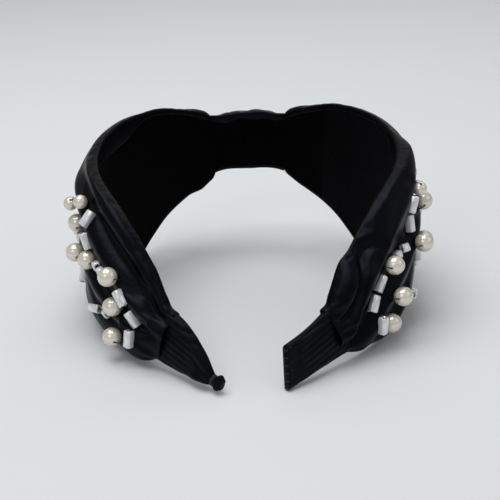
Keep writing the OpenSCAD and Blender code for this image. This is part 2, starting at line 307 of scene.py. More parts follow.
def makeLining(name, low, high):
    # Matt rib-knit lining: nearly black, with fine ribs across the band. Beyond the crease 3.9 cm
    # from the crown it is painted paler, from low to high: painted light on that side of the
    # crease.
    material, tree, shader = newMaterial(name)
    at = addNode(tree, "ShaderNodeTexCoord")
    cloth = addNode(tree, "ShaderNodeUVMap", {"uv_map": "cloth"})
    patch = addNode(tree, "ShaderNodeTexNoise", None, {"Scale": 90, "Detail": 4},
                    {"Vector": at.outputs["Object"]})
    tone = addNode(tree, "ShaderNodeValToRGB", None, None, {"Fac": patch.outputs["Fac"]})
    tone.color_ramp.elements[0].color = toLinear("#020202")
    tone.color_ramp.elements[1].color = toLinear("#050506")
    # painted light: the paler colours, from low to high, beyond the crease
    beyond = addNode(tree, "ShaderNodeValToRGB", None, None, {"Fac": patch.outputs["Fac"]})
    beyond.color_ramp.elements[0].color = toLinear(low)
    beyond.color_ramp.elements[1].color = toLinear(high)
    parts = addNode(tree, "ShaderNodeSeparateXYZ", None, None, {"Vector": cloth.outputs["UV"]})
    reach = addNode(tree, "ShaderNodeMapRange", None, {"From Min": 3.8, "From Max": 4.1},
                    {"Value": parts.outputs["X"]})
    # mixes the painted light in beyond the crease
    paintedLightPanel = addNode(tree, "ShaderNodeMix", {"data_type": "RGBA"}, None,
                    {"Factor": reach.outputs["Result"]})
    tree.links.new(tone.outputs["Color"], paintedLightPanel.inputs["A"])
    tree.links.new(beyond.outputs["Color"], paintedLightPanel.inputs["B"])
    tree.links.new(paintedLightPanel.outputs["Result"], shader.inputs["Base Color"])
    # ribs 1 mm apart along the arm
    ribs = addNode(tree, "ShaderNodeTexWave", {"wave_type": "BANDS", "bands_direction": "X"},
                   {"Scale": 3.14, "Distortion": 0.3, "Detail": 1},
                   {"Vector": cloth.outputs["UV"]})
    bump = addNode(tree, "ShaderNodeBump", None, {"Strength": 0.6, "Distance": 0.0004},
                   {"Height": ribs.outputs["Fac"]})
    tree.links.new(bump.outputs["Normal"], shader.inputs["Normal"])
    setShader(shader, Roughness=0.85, Specular_IOR_Level=0.04)
    return material


def makeGrosgrain():
    # Woven grosgrain ribbon: dark navy-black, half matt, with fine ribs 0.8 mm apart.
    material, tree, shader = newMaterial("grosgrain")
    at = addNode(tree, "ShaderNodeTexCoord")
    cloth = addNode(tree, "ShaderNodeUVMap", {"uv_map": "cloth"})
    patch = addNode(tree, "ShaderNodeTexNoise", None, {"Scale": 120, "Detail": 4},
                    {"Vector": at.outputs["Object"]})
    tone = addNode(tree, "ShaderNodeValToRGB", None, None, {"Fac": patch.outputs["Fac"]})
    tone.color_ramp.elements[0].color = toLinear("#030405")
    tone.color_ramp.elements[1].color = toLinear("#06080d")
    tree.links.new(tone.outputs["Color"], shader.inputs["Base Color"])
    ribs = addNode(tree, "ShaderNodeTexWave", {"wave_type": "BANDS", "bands_direction": "X"},
                   {"Scale": 3.9}, {"Vector": cloth.outputs["UV"]})
    bump = addNode(tree, "ShaderNodeBump", None, {"Strength": 0.2, "Distance": 0.0003},
                   {"Height": ribs.outputs["Fac"]})
    tree.links.new(bump.outputs["Normal"], shader.inputs["Normal"])
    setShader(shader, Roughness=0.45, Specular_IOR_Level=0.1, Sheen_Weight=0.004,
              Sheen_Roughness=0.4, Sheen_Tint=toLinear("#9aa0bc"),
              Specular_Tint=toLinear("#e2e6ff"))
    return material


def makePearl():
    # Pearl coating on a plastic bead: warm ivory, a little browner at the rim, under a
    # clear glossy coat.
    material, tree, shader = newMaterial("pearlCoating")
    at = addNode(tree, "ShaderNodeTexCoord")
    edge = addNode(tree, "ShaderNodeLayerWeight", None, {"Blend": 0.35})
    cloud = addNode(tree, "ShaderNodeTexNoise", None, {"Scale": 140, "Detail": 1},
                    {"Vector": at.outputs["Object"]})
    body = addNode(tree, "ShaderNodeValToRGB", None, None, {"Fac": cloud.outputs["Fac"]})
    body.color_ramp.elements[0].color = toLinear("#f0e8d8")
    body.color_ramp.elements[1].color = toLinear("#f6f0e4")
    rim = addNode(tree, "ShaderNodeMix", {"data_type": "RGBA"}, None,
                  {"Factor": edge.outputs["Facing"]})
    tree.links.new(body.outputs["Color"], rim.inputs["A"])
    rim.inputs["B"].default_value = toLinear("#c2b299")
    tree.links.new(rim.outputs["Result"], shader.inputs["Base Color"])
    setShader(shader, Metallic=0.3, Roughness=0.16, IOR=1.6, Coat_Weight=1.0,
              Coat_Roughness=0.05)
    return material


def makeGlass():
    # Pressed glass with a silvered bore: bright and white, and only a little see-through.
    material, tree, shader = newMaterial("clearGlass")
    at = addNode(tree, "ShaderNodeTexCoord")
    cloud = addNode(tree, "ShaderNodeTexNoise", None, {"Scale": 400, "Detail": 2},
                    {"Vector": at.outputs["Object"]})
    rough = addNode(tree, "ShaderNodeMapRange", None, {"To Min": 0.06, "To Max": 0.12},
                    {"Value": cloud.outputs["Fac"]})
    tree.links.new(rough.outputs["Result"], shader.inputs["Roughness"])
    setShader(shader, Base_Color=toLinear("#fdfdfe"), IOR=1.52, Transmission_Weight=0.2,
              Metallic=0.25)
    return material


def makeSilver():
    # Silver lining inside the beads' bores: a bright, slightly clouded mirror.
    material, tree, shader = newMaterial("silverLining")
    at = addNode(tree, "ShaderNodeTexCoord")
    cloud = addNode(tree, "ShaderNodeTexNoise", None, {"Scale": 120, "Detail": 1},
                    {"Vector": at.outputs["Object"]})
    rough = addNode(tree, "ShaderNodeMapRange", None, {"To Min": 0.22, "To Max": 0.34},
                    {"Value": cloud.outputs["Fac"]})
    tree.links.new(rough.outputs["Result"], shader.inputs["Roughness"])
    setShader(shader, Base_Color=toLinear("#eef0f2"), Metallic=1.0)
    return material


def makePlain(name, low, high, roughness, scale, bumpHeight=0.0):
    material, tree, shader = newMaterial(name)
    at = addNode(tree, "ShaderNodeTexCoord")
    grain = addNode(tree, "ShaderNodeTexNoise", None, {"Scale": scale, "Detail": 4},
                    {"Vector": at.outputs["Object"]})
    tone = addNode(tree, "ShaderNodeValToRGB", None, None, {"Fac": grain.outputs["Fac"]})
    tone.color_ramp.elements[0].color = toLinear(low)
    tone.color_ramp.elements[1].color = toLinear(high)
    tree.links.new(tone.outputs["Color"], shader.inputs["Base Color"])
    if bumpHeight:
        bump = addNode(tree, "ShaderNodeBump", None, {"Strength": 0.5, "Distance": bumpHeight},
                       {"Height": grain.outputs["Fac"]})
        tree.links.new(bump.outputs["Normal"], shader.inputs["Normal"])
    setShader(shader, Roughness=roughness)
    return material


satin, grosgrain = makeSatin(), makeGrosgrain()
# The right lining's paler colours beyond its crease are painted light; the left lining's match
# its own tone.
linings = {1: makeLining("lining", "#020202", "#050506"),
           -1: makeLining("liningPaintedLight", "#08080a", "#0e0e11")}
pearlCoating, clearGlass, silverLining = makePearl(), makeGlass(), makeSilver()
# Moulded spring plastic is half matt, open-cell foam is matt and pitted, and polyester
# thread is black with a dull shine. All three are mostly hidden.
springPlastic = makePlain("springPlastic", "#2b2b2d", "#343436", 0.42, 300)
foam = makePlain("openCellFoam", "#4a4c50", "#5e6066", 0.95, 900, 0.0004)
thread = makePlain("polyesterThread", "#0c0c0f", "#1a1a20", 0.6, 2500, 0.0001)
print("materials made")


def fold(high, above, below, *path):
    # A soft ridge, or a crease where high is below nothing, along a path of (s, u). It
    # dies away over above and below, in millimetres.
    return {"high": high, "above": above, "below": below,
            "s": [point[0] for point in path], "u": [point[1] for point in path]}


def foldHeight(folds, s, u):
    total = 0
    for f in folds:
        first, last = f["s"][0], f["s"][-1]
        if not first - 12 < s < last + 12:
            continue
        reach = fade(first - 10, first + 6, s) * (1 - fade(last - 4, last + 10, s))
        x = u - curveAt(f["s"], f["u"], s)
        x /= f["above"] if x > 0 else f["below"]
        if abs(x) < 3:
            total += f["high"] * reach * math.exp(-x * x)
    return total


def overPadding(high):
    # Creases stop short of the padding under the cloth, at most 0.75 mm deep.
    free, rest = -0.3, 0.45
    return high if high > free else free - rest * (1 - math.exp((high - free) / rest))


wing = {
    "along": 124, "across": 96, "root": 16.6, "end": ribbonAt + 3.2, "thick": 0.5,
    "rootPleat": 1.1, "gather": 0.9, "swell": 0.6, "ripple": 0.22,
    "lip": 2.2, "leftLip": 7, "rightLip": 9,
    "cap": 0.9, "growth": 0.012, "pressure": 0.8,
}
# The cloth is settled ten times life size, over a few frames.
clothRun = {"scale": 10, "frames": 20, "quality": 6, "mass": 0.2, "stretch": 20, "shear": 8,
            "bend": 4}
leftFolds = [
    fold(2.2, 7, 3.5, (98, 32), (120, 29), (140, 27), (160, 19.5), (172, 11)),
    fold(-2.8, 2.2, 1.8, (102, 30), (125, 25.5), (140, 20.5), (150, 17), (160, 12.5), (171, 6.5)),
    fold(2.7, 3.6, 5, (96, 23), (125, 19), (145, 12), (160, 7), (171, 3)),
    fold(-2.2, 2.2, 2.2, (104, 14), (125, 8.5), (145, 3.5), (165, 0)),
    fold(2.0, 3.6, 3.6, (90, 8), (115, 3), (140, -1), (158, -3)),
    fold(-2.0, 2, 2.2, (112, -4), (135, -8), (154, -7.5)),
    fold(3.0, 6, 6, (156, -11), (163, -11), (169, -10)),
    fold(-1.4, 3, 3, (154, -2), (155, -8), (156, -13), (157, -17)),
    fold(1.9, 4, 5, (90, -16), (120, -17), (148, -15)),
]
rightFolds = [
    fold(2.8, 6, 3.2, (86, 33), (112, 26.5), (130, 22), (150, 13), (162, 5), (171, -2)),
    fold(-2.8, 2, 2.2, (104, 20), (122, 15.5), (140, 9.5), (160, 0), (170, -6)),
    fold(2.5, 3, 4.4, (100, 12), (125, 7), (150, -2), (165, -8)),
    fold(-2.2, 2, 2.2, (105, 2), (130, -4), (160, -12)),
    fold(2.2, 3, 4, (134, -9), (150, -13), (167, -13)),
    fold(-1.5, 2, 2, (130, -17), (150, -18), (165, -15)),
    fold(3.0, 5, 4.4, (156, 15), (163, 13), (169, 10)),
    fold(-2.2, 2, 2.2, (146, 22), (156, 14.5), (168, 5)),
]
# Long shallow folds from the knot over the front of both wings.
frontFolds = [
    fold(2.2, 5, 4, (22, 12), (60, 22), (95, 24)),
    fold(-1.8, 3, 2.4, (22, 7), (60, 13), (100, 13)),
    fold(2.0, 4, 4, (22, 3), (55, 6), (90, 4)),
    fold(-1.8, 2.4, 3, (22, -3), (60, -5), (96, -8)),
    fold(2.2, 4, 5, (22, -8), (58, -14), (92, -20)),
    fold(-0.9, 2.4, 3, (24, -13), (60, -24), (100, -30)),
]


def lipAt(side, s, upper):
    # How far the satin turns over on to the inner face, in millimetres.
    lip = wing["lip"] + 1.6 * fade(150, 165, s)
    if upper:
        lip += 0.8 + 0.5 * noise.noise((s / 9, side, 3))
    if upper and side == 1:
        lip += wing["leftLip"] * fade(46, 66, s) * (1 - fade(74, 104, s))
    if upper and side == -1:
        lip += wing["rightLip"] * fade(74, 92, s) * (1 - fade(116, 146, s))
    return min(lip, 0.7 * halfUp(s)) * fade(14, 22, s)


def wingSection(side, s):
    # The wing closes on the knot with a rounded shoulder.
    shoulder = math.sin(math.pi / 2 * min(1, max(0.02, (s - 15.9) / 5)))
    up = 12.5 + (halfUp(max(s, 20.5)) - 12.5) * shoulder
    down = 13 + (halfDown(max(s, 20.5)) - 13) * shoulder
    deep = 4.5 + (depthAt(s) - 4.5) * shoulder
    if s > ribbonAt:
        up = down = 11 - 0.1 * (s - ribbonAt)
    if side == -1:
        up += 2.2 * fade(150, 160, s) * (1 - fade(166, 174, s))
    else:
        down += 2.6 * fade(15.9, 18, s) * (1 - fade(24, 34, s))
        down += 1.2 * fade(152, 159, s) * (1 - fade(166, 173, s))
    return up, down, deep


def settleCloth(thing, held, settings):
    # Lets the cloth swell and buckle a little over its padding, and keeps every point
    # within the cap of where it began.
    scene = bpy.context.scene
    copy = thing.copy()
    copy.data = thing.data.copy()
    scene.collection.objects.link(copy)
    copy.data.transform(Matrix.Scale(clothRun["scale"], 4))
    group = copy.vertex_groups.new(name="held")
    for index, weight in enumerate(held):
        if weight > 0:
            group.add([index], weight, "REPLACE")
    cloth = copy.modifiers.new("Cloth", "CLOTH")
    cloth.settings.quality = clothRun["quality"]
    cloth.settings.mass = clothRun["mass"]
    cloth.settings.tension_stiffness = clothRun["stretch"]
    cloth.settings.compression_stiffness = clothRun["stretch"]
    cloth.settings.shear_stiffness = clothRun["shear"]
    cloth.settings.bending_stiffness = clothRun["bend"]
    cloth.settings.vertex_group_mass = "held"
    cloth.settings.shrink_min = -settings["growth"]
    cloth.settings.use_pressure = True
    cloth.settings.uniform_pressure_force = settings["pressure"]
    cloth.settings.effector_weights.gravity = 0
    cloth.collision_settings.use_collision = False
    cloth.point_cache.frame_start, cloth.point_cache.frame_end = 1, clothRun["frames"]
    for number in range(1, clothRun["frames"] + 1):
        scene.frame_set(number)
    settled = copy.evaluated_get(bpy.context.evaluated_depsgraph_get())
    for v, w in zip(thing.data.vertices, settled.data.vertices):
        move = w.co / clothRun["scale"] - v.co
        v.co += move * min(1, settings["cap"] * mm / max(move.length, 1e-9))
    bpy.data.objects.remove(copy)
    scene.frame_set(1)


def gatherHeight(s, u, start, reach, period, high):
    # small pleats that fan out from a seam at start and die away over reach
    away = abs(s - start)
    near = max(0, 1 - away / reach)
    wave = 2 * math.pi * u / period + 2.5 * noise.noise((u / 6, s / 20, start))
    return high * near * near * fade(0, 4, away) * math.sin(wave)


def sewWing(side, name, folds):
    count = wing["across"]

    def rowAt(a):
        s = wing["root"] + a * (wing["end"] - wing["root"])
        up, down, deep = wingSection(side, s)
        points, length = outline(domeSection(up, down, deep, lipAt(side, s, True),
                                             lipAt(side, s, False), -0.5), count)
        return [(place(side, s, u, v), (s / 10, j * length / count / 10), (s, u, v))
                for j, (u, v) in enumerate(points)]

    def heightAt(s, u, out):
        onFace = fade(-0.2, 3.0, out)
        fan = 16 / max(wingSection(side, s)[0], 8)
        high = onFace * (foldHeight(folds + frontFolds, s, u) + wing["swell"])
        high += gatherHeight(s, u * fan, 17, 34, 4.6, wing["rootPleat"]) * fade(-0.6, 1, out)
        high += gatherHeight(s, u, ribbonAt + 2, 13, 4.4, wing["gather"])
        high += wing["ripple"] * noise.noise((s / 11, u / 7, 3.0 * side)) * fade(20, 30, s)
        return overPadding(high), fade(-0.7, 0.4, out)

    def pinAt(s, u, out):
        pin = max(1 - fade(19, 27, s), fade(ribbonAt - 5, ribbonAt, s), 1 - fade(-0.4, 2.5, out))
        return pin if pin > 0.02 else 0

    bm, spots = bandGrid(wing["along"], count, rowAt)
    faceOutwards(bm, spots, side)
    raiseCloth(spots, heightAt)
    held = [pinAt(*spots[v]) for v in bm.verts]
    thing = finishPiece(name, bm, satin)
    settleCloth(thing, held, wing)
    addThickness(thing, wing["thick"], -1)
    addSmoothing(thing)
    return thing


arms = {1: "left_arm", -1: "right_arm"}
sideNames = {1: "left", -1: "right"}
wings = {}
for side, folds in ((1, leftFolds), (-1, rightFolds)):
    thing = sewWing(side, "satinWing_" + sideNames[side], folds)
    place(side, 15, 0, 3)
    place(side, 36, 0, 3)
    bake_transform(thing)
    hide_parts("cover_" + sideNames[side])
    wings[side] = thing
print("wings sewn")

knot = {
    "along": 64, "across": 110, "half": 17.4, "rim": 6.5, "bulge": 4.9, "thick": 0.5,
    "lip": 3.5, "lowLip": 2, "pleat": 0.35, "pitch": 8.5, "slant": 0.16, "ripple": 0.25,
    "cap": 0.6, "growth": 0.012, "pressure": 0.6,
}


def knotDepth(s):
    bulge = math.cos(math.pi / 2 * min(1, abs(s) / (band["knotHalf"] + 1.2)))
    return knot["rim"] + knot["bulge"] * bulge ** 0.7


def sewKnot():
    count = knot["across"]

    def rowAt(a):
        s = knot["half"] * (2 * a - 1)
        up = halfUp(s) + 0.9 * math.exp(-((s + 8) / 5) ** 2)    # a slight bump to the right
        lip = knot["lip"] + 1.2 * noise.noise((s / 7, 0, 9))
        points, length = outline(domeSection(up, halfDown(s), knotDepth(s), lip,
                                             knot["lowLip"], -0.3), count)
        return [(placeOnCrown(s, u, v), (s / 10, j * length / count / 10), (s, u, v))
                for j, (u, v) in enumerate(points)]

    def heightAt(s, u, out):
        wave = (s + knot["slant"] * u) / knot["pitch"] + 0.5 * noise.noise((s / 9, u / 9, 7))
        ridge = abs(math.sin(math.pi * wave)) ** 0.7
        high = knot["pleat"] * (ridge - 0.4) * (1 - 0.4 * fade(9, 16, abs(s)))
        high += knot["ripple"] * noise.noise((s / 5, u / 7, 11))
        return high, fade(-0.5, 1.5, out)

    bm, spots = bandGrid(knot["along"], count, rowAt)
    faceOutwards(bm, spots, 1)
    raiseCloth(spots, heightAt)
    held = [max(fade(11, 15, abs(spots[v][0])), 1 - fade(-0.3, 2, spots[v][2])) for v in bm.verts]
    thing = finishPiece("satinKnot", bm, satin)
    settleCloth(thing, held, knot)
    addThickness(thing, knot["thick"], -1)
    addSmoothing(thing)
    return thing


knotWrap = sewKnot()
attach(knotWrap, "crown")
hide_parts("knot_wrap")
print("knot sewn")

liningCloth = {
    "along": 120, "across": 44, "start": 16.4, "end": ribbonAt + 2, "tuck": 1.6, "thick": 0.4,
    "wrinkle": 0.35, "crease": 1.9, "creaseAt": 37.5,
}
crownCloth = {"along": 40, "across": 24, "half": 18.5, "thick": 0.3, "wrinkle": 0.2}
leftWrinkle = [fold(-0.5, 6, 3, (60, -14), (84, -4), (108, 12))]


def creaseHeight(side, s, u):
    # the right lining has a crease across the arm, the left one a soft wrinkle along it
    if side == 1:
        return foldHeight(leftWrinkle, s, u)
    line = liningCloth["creaseAt"] - 0.11 * u + 1.2 * noise.noise((u / 12, 0, 5))
    step = fade(line - 1.2, line + 1.2, s) * (1 - fade(line + 2, line + 22, s))
    return -liningCloth["crease"] * step


def layLining(side, name):
    count = liningCloth["across"]

    def rowAt(a):
        s = liningCloth["start"] + a * (liningCloth["end"] - liningCloth["start"])
        up, down, deep = wingSection(side, s)
        tuck = liningCloth["tuck"] * fade(15, 22, s) - 0.6
        top = up - lipAt(side, s, True) + tuck
        low = -(down - lipAt(side, s, False) + tuck)
        row = []
        for j in range(count + 1):
            u = low + (top - low) * j / count
            wrinkle = liningCloth["wrinkle"] * noise.noise((s / 14, u / 9, side))
            calm = math.sin(math.pi * j / count) ** 0.5
            v = 0.05 + calm * (creaseHeight(side, s, u) + wrinkle)
            row.append((place(side, s, u, v), (s / 10, u / 10), (s, u, v)))
        return row

    bm, spots = bandGrid(liningCloth["along"], count, rowAt)
    faceOutwards(bm, spots, side)
    thing = finishPiece(name, bm, linings[side])
    addThickness(thing, liningCloth["thick"], 1)
    return thing


def layCrownLining():
    count = crownCloth["across"]

    def rowAt(a):
        s = crownCloth["half"] * (2 * a - 1)
        top, low = band["halfUp"][0] - 1.6, 1.4 - band["halfDown"][0]
        row = []
        for j in range(count + 1):
            u = low + (top - low) * j / count
            v = 0.3 + crownCloth["wrinkle"] * noise.noise((s / 8, u / 6, 21))
            row.append((placeOnCrown(s, u, v), (s / 10, u / 10), (s, u, v)))
        return row

    bm, spots = bandGrid(crownCloth["along"], count, rowAt)
    faceOutwards(bm, spots, 1)
    thing = finishPiece("crownLining", bm, linings[1])
    addThickness(thing, crownCloth["thick"], 1)
    return thing


def flatArea(side):
    # the lining's cut, in square metres
    return sum(halfUp(s) + halfDown(s) - lipAt(side, s, True) - lipAt(side, s, False) + 2
               for s in range(17, int(liningCloth["end"]))) * mm * mm


for side in (1, -1):
    thing = layLining(side, "armLining_" + sideNames[side])
    place(side, 15, 0, 3)
    place(side, 36, 0, 3)
    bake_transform(thing)
    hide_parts("lining_" + sideNames[side])
    flatArea(side)
crownLining = layCrownLining()
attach(crownLining, "crown")
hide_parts("lining_crown")
print("lining laid")

ribbon = {
    "along": 60, "around": 88, "start": ribbonAt + 0.4, "ridge": 1.2, "pitch": 2.3,
    "low": -0.45, "leftEnd": 205.5, "leftRidges": 186, "rightRidges": 189, "ripple": 0.25,
    "slant": 3.4 / 8.7,
}
# The left sleeve is pinched to a stem and a knob: its half widths and thickness along it.
tipPlaces = [172, 180, 186, 190, 195, 199.5, 201.5, 204, 205.5]
tipUp = [11, 10.2, 8.2, 6.2, 3.2, -0.8, -2, 0.2, -1.2]
tipDown = [11, 10.2, 9.3, 8.6, 7.9, 6.8, 6, 6.9, 5.9]
tipThick = [4.3, 4.5, 4.6, 4.6, 4.2, 3.2, 2.6, 3.6, 2.2]
# A fold and a crease run into the stem; each drifts across for each mm from its place.
pinchFolds = [
    {"high": 0.9, "u": -5.6, "drift": 0.2, "from": 196, "width": 1.3, "grows": (190, 196)},
    {"high": -0.6, "u": -2.6, "drift": -0.5, "from": 197, "width": 1.0, "grows": (188, 195)},
]


def ribbonSection(side, s):
    if side == 1:
        up, down = curveAt(tipPlaces, tipUp, s), curveAt(tipPlaces, tipDown, s)
        return up, down, curveAt(tipPlaces, tipThick, s)
    half = halfUp(min(s, armLength))
    return half, half - 0.9 * fade(186, 200, s), 4.3 - 1.5 * fade(190, 203, s)


def roundedStrip(up, down, low, high):
    # a closed outline with round edges, from the middle of the inner face round to it
    middle, r = (up - down) / 2, min((high - low) / 2, (up + down) / 2)
    centre, steps = (high + low) / 2, 7
    bend = [(r * math.sin(math.pi * k / steps), r * math.cos(math.pi * k / steps))
            for k in range(1, steps)]
    return [(middle, low), (up - r, low), *((up - r + x, centre - y) for x, y in bend),
            (up - r, high), (middle, high), (r - down, high),
            *((r - down - x, centre + y) for x, y in bend), (r - down, low), (middle, low)]


def pinchHeight(s, u):
    total = 0
    for f in pinchFolds:
        x = (u - f["u"] - f["drift"] * (s - f["from"])) / f["width"]
        total += f["high"] * math.exp(-x * x) * fade(*f["grows"], s) * (1 - fade(199, 202, s))
    return total


def foldRibbon(side, name):
    count, start = ribbon["around"], ribbon["start"]
    end = ribbon["leftEnd"] if side == 1 else armLength
    last = ribbon["leftRidges"] if side == 1 else ribbon["rightRidges"]

    def rowAt(a):
        s = start + a * (end - start)
        up, down, thick = ribbonSection(side, s)
        points, length = outline(roundedStrip(up, down, ribbon["low"], thick), count)
        row = []
        for j, (u, v) in enumerate(points):
            reach = s
            if side == -1:    # the end is cut on a slant
                reach = start + (s - start) * (1 - (u - 0.5) * ribbon["slant"] / (end - start))
            row.append((place(side, reach, u, v), (s / 10, j * length / count / 10), (s, u, v)))
        row[-1] = (row[0][0], row[-1][1], row[0][2])
        return row

    def heightAt(s, u, out):
        on = fade(1.5, 3.2, out)
        ridge = ribbon["ridge"] * (abs(math.cos(math.pi * u / ribbon["pitch"])) ** 0.8 - 0.6)
        high = ridge * (1 - fade(last - 3, last + 7, s)) * (0.35 + 0.65 * fade(-5, 2, u))
        if side == 1:
            high += pinchHeight(s, u)
        high += ribbon["ripple"] * noise.noise((s / 5, u / 4, 31 * side))
        return high * on, 1

    bm, spots = bandGrid(ribbon["along"], count, rowAt, closed=True)
    faceOutwards(bm, spots, side)
    raiseCloth(spots, heightAt)
    rim = [e for e in bm.edges if e.is_boundary and all(spots[v][0] > end - 1 for v in e.verts)]
    filled = bmesh.ops.holes_fill(bm, edges=rim, sides=0)
    bmesh.ops.inset_region(bm, faces=filled["faces"], thickness=0.5 * mm, depth=0.2 * mm)
    return finishPiece(name, bm, grosgrain)


for side in (1, -1):
    thing = foldRibbon(side, "ribbonSleeve_" + sideNames[side])
    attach(thing, arms[side])
    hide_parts("ribbon_" + sideNames[side])
print("ribbons folded")

tipThread = {"thick": 0.45, "turns": 5, "windAt": 200.4, "windLength": 1.6, "round": 16,
             "stitches": 6, "row": 14}


def threadAlong(bm, points, radius):
    # a round thread through a row of points
    for a, b in zip(points, points[1:]):
        made = bmesh.ops.create_cone(bm, cap_ends=True, segments=8, radius1=radius,
                                     radius2=radius, depth=(b - a).length)["verts"]
        turn = (b - a).to_track_quat("Z", "Y").to_matrix()
        bmesh.ops.rotate(bm, verts=made, matrix=turn)
        bmesh.ops.translate(bm, verts=made, vec=(a + b) / 2)


def sewTip(side, name):
    # thread wound round the pinched left end, and a row of whip stitches on the right one
    bm = bmesh.new()
    radius = tipThread["thick"] / 2 * mm
    if side == 1:
        start, length, perTurn = (tipThread[key] for key in ("windAt", "windLength", "round"))
        up, down, thick = ribbonSection(1, start + length / 2)
        wide, high = (up + down) / 2 + 0.2, (thick - ribbon["low"]) / 2 + 0.2
        points, last = [], tipThread["turns"] * perTurn
        for k in range(last + 1):
            a = 2 * math.pi * k / perTurn
            points.append(place(1, start + length * k / last,
                                (up - down) / 2 + wide * math.cos(a),
                                (thick + ribbon["low"]) / 2 + high * math.sin(a)))
        threadAlong(bm, points, radius)
    else:
        for k in range(tipThread["stitches"]):
            u = tipThread["row"] * (k / (tipThread["stitches"] - 1) - 0.5)
            edge = armLength - u * ribbon["slant"] + 0.3
            stitch = [(edge - 1.6, u + 0.6, 2.95), (edge + 0.25, u, 2.4), (edge + 0.25, u, 0.1),
                      (edge - 1.6, u - 0.6, -0.6)]
            threadAlong(bm, [place(-1, *point) for point in stitch], radius)
    return finishPiece(name, bm, thread)


for side in (1, -1):
    thing = sewTip(side, "tipStitches_" + sideNames[side])
    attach(thing, arms[side])
    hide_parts("tip_stitch_" + sideNames[side])
print("ribbon ends sewn")

# Sizes of the beads: diameters of pearls, small pearls, holes and thread, the glass
# tubes' length and the width and bore of all glass; and how far a bead sinks into satin.
beads = {"pearl": 8.0, "seed": 6.0, "tube": 7.0, "width": 3.5, "bore": 2.2, "hole": 0.6,
         "thread": 0.4, "sink": 0.7, "rightShift": 5}
# One spray: each bead, how far it lies from the one before it, and the chain's turn.
spray = [("pearl", 0, 10), ("cube", 7.4, 18), ("cube", 4.8, 4), ("pearl", 7, 14),
         ("tube", 8.8, -38), ("tube", 8.6, -42), ("tube", 8.6, -74)]
# Each spray's start along and across the arm, its turn and how many beads it has.
sprays = [(46, 15, -2, 7), (40, -22, 9, 7), (78, -12, 6, 7), (128, 8, 0, 7), (86, 10, 0, 3)]
others = [("pearl", 110, 14.5, 0), ("tube", 121.5, 23.5, -63), ("tube", 125.3, 15.9, -63),
          ("pearl", 120, 4.5, 0), ("tube", 118, -5.5, -80), ("tube", 137, -11.5, 30),
          ("cube", 144, -7.5, 30), ("pearl", 150.5, -1, 20), ("pearl", 156, -11, 0)]
singles = [(32, 4), (31, -12), (36, 12), (63, 1), (68, -6.5), (62, -27), (100, 2), (93, -25),
           (113.5, 26), (107.5, 22.5), (104, -28)]


def beadPlaces(side):
    # (kind, s, u, turn) of every bead on one wing
    back = 0 if side == 1 else beads["rightShift"]
    found = []
    for s, u, turn, count in sprays:
        for kind, gap, angle in spray[:count]:
            a = math.radians(turn + angle)
            s, u = s + gap * math.cos(a), u + gap * math.sin(a)
            found.append((kind, s - back, u, turn + angle))
    found += [(kind, s - back, u, turn) for kind, s, u, turn in others]
    found += [("seed", s - back, u, 3 * u) for s, u in singles]
    return found


def pearlShape(size):
    bm = bmesh.new()
    half = size / 2
    first = math.asin(beads["hole"] / 2 / half)
    ring = [bm.verts.new((half * math.cos(a) * mm, half * math.sin(a) * mm, 0))
            for a in (first + (math.pi - 2 * first) * k / 14 for k in range(15))]
    edges = [bm.edges.new(pair) for pair in zip(ring, ring[1:] + ring[:1])]
    bmesh.ops.spin(bm, geom=ring + edges, cent=(0, 0, 0), axis=(1, 0, 0), angle=2 * math.pi,
                   steps=28, use_merge=True, use_duplicate=False)
    bmesh.ops.recalc_face_normals(bm, faces=bm.faces)
    return meshFrom("pearlShape", bm)


def glassShape(length):
    # rings of a rounded square outside and a round bore inside, bridged in turn
    bm = bmesh.new()
    half, end, bore, worn = beads["width"] / 2, length / 2, beads["bore"] / 2, 0.35
    rings = [(-end, half * 0.86, 6), (worn - end, half, 6), (end - worn, half, 6),
             (end, half * 0.86, 6), (end, bore, 2), (-end, bore, 2)]
    loops = []
    for x, r, power in rings:
        made = bmesh.ops.create_circle(bm, segments=16, radius=1)["verts"]
        for v in made:
            a, b = abs(v.co.x), abs(v.co.y)
            v.co *= r * mm / (a**power + b**power) ** (1 / power)
        bmesh.ops.rotate(bm, verts=made, matrix=Matrix.Rotation(math.pi / 2, 3, "Y"))
        bmesh.ops.translate(bm, verts=made, vec=(x * mm, 0, 0))
        loops.append(list({e for v in made for e in v.link_edges}))
    for k in range(6):
        faces = bmesh.ops.bridge_loops(bm, edges=loops[k] + loops[(k + 1) % 6])["faces"]
        for face in faces:
            face.material_index = 1 if k == 4 else 0
    bmesh.ops.recalc_face_normals(bm, faces=bm.faces)
    return meshFrom("glassShape", bm)


def stitchShape(length, high):
    # thread along a bead's hole and down both ends
    bm = bmesh.new()
    r, reach = beads["thread"] / 2 * mm, length / 2 + 0.25
    ends = [((-reach, 0, 0), (reach, 0, 0)), ((-reach, 0, -high), (-reach, 0, 0)),
            ((reach, 0, -high), (reach, 0, 0))]
    for a, b in ends:
        threadAlong(bm, [Vector(a) * mm, Vector(b) * mm], r)
    return meshFrom("stitchShape", bm)


def surfaceOf(thing):
    bm = bmesh.new()
    bm.from_mesh(thing.data)
    tree = BVHTree.FromBMesh(bm)
    bm.free()
    return tree


def touch(tree, side, s, u):
    # where a bead dropped on to the wing from outside would meet the satin
    top, low = place(side, s, u, 24), place(side, s, u, -1)
    hit = tree.ray_cast(top, (low - top).normalized(), 0.03)[0]
    return hit if hit else place(side, s, u, depthAt(s) * 0.8)


